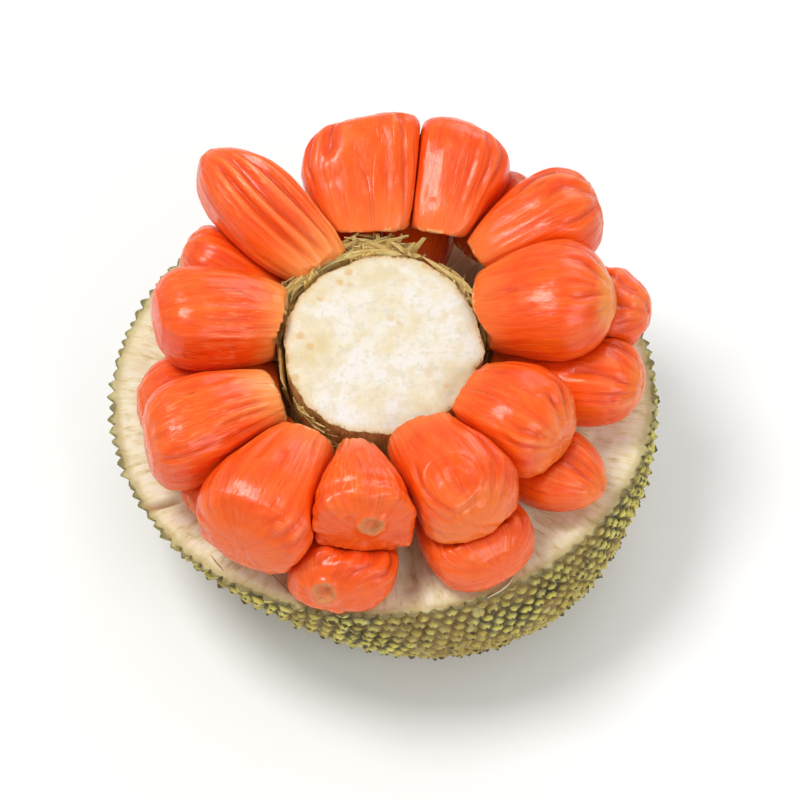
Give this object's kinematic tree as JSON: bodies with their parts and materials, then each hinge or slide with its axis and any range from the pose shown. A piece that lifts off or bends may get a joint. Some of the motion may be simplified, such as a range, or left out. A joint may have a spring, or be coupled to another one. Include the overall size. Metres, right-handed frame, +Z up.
{
  "type": "jackfruit end cut",
  "caption": "Crosswise-cut end of a red-fleshed jackfruit: a bowl of spiky rind and pale pith with fleshy pods standing round the core stub like petals.",
  "frame": {"origin": "centre of the footprint, on the plane the bowl rests on", "axes": "+Z up, square to the cut rim; -Y towards the side where the rind stands highest and the pods lie lowest"},
  "size_m": [0.2766, 0.2734, 0.1678],
  "materials": {
    "rind": "rough, olive green with brown tips",
    "pith": "matte, cream, fibrous",
    "core": "matte, cream cut face with a tan fibrous side",
    "aril": "moist, satin to glossy, orange-red",
    "rag": "matte, fibrous"
  },
  "bodies": {
    "root": {"rind": "rind", "core": "core", "aril_upper_01": "aril", "aril_upper_02": "aril", "aril_upper_03": "aril", "aril_upper_04": "aril", "aril_upper_05": "aril", "aril_upper_06": "aril", "aril_upper_07": "aril", "aril_upper_08": "aril", "aril_upper_09": "aril", "aril_upper_10": "aril", "aril_upper_11": "aril", "aril_upper_12": "aril", "aril_lower_01": "aril", "aril_lower_02": "aril", "aril_lower_03": "aril", "aril_lower_04": "aril", "aril_lower_05": "aril", "aril_lower_06": "aril", "aril_lower_07": "aril", "aril_lower_08": "aril", "aril_lower_09": "aril", "aril_lower_10": "aril", "aril_lower_11": "aril", "aril_lower_12": "aril", "aril_lower_13": "aril", "aril_lower_14": "aril", "rag_strip_01": "rag", "rag_strip_02": "rag", "rag_strip_03": "rag", "rag_strip_04": "rag", "rag_strip_05": "rag", "rag_strip_06": "rag", "rag_strip_07": "rag", "rag_strip_08": "rag"}
  },
  "joints": []
}
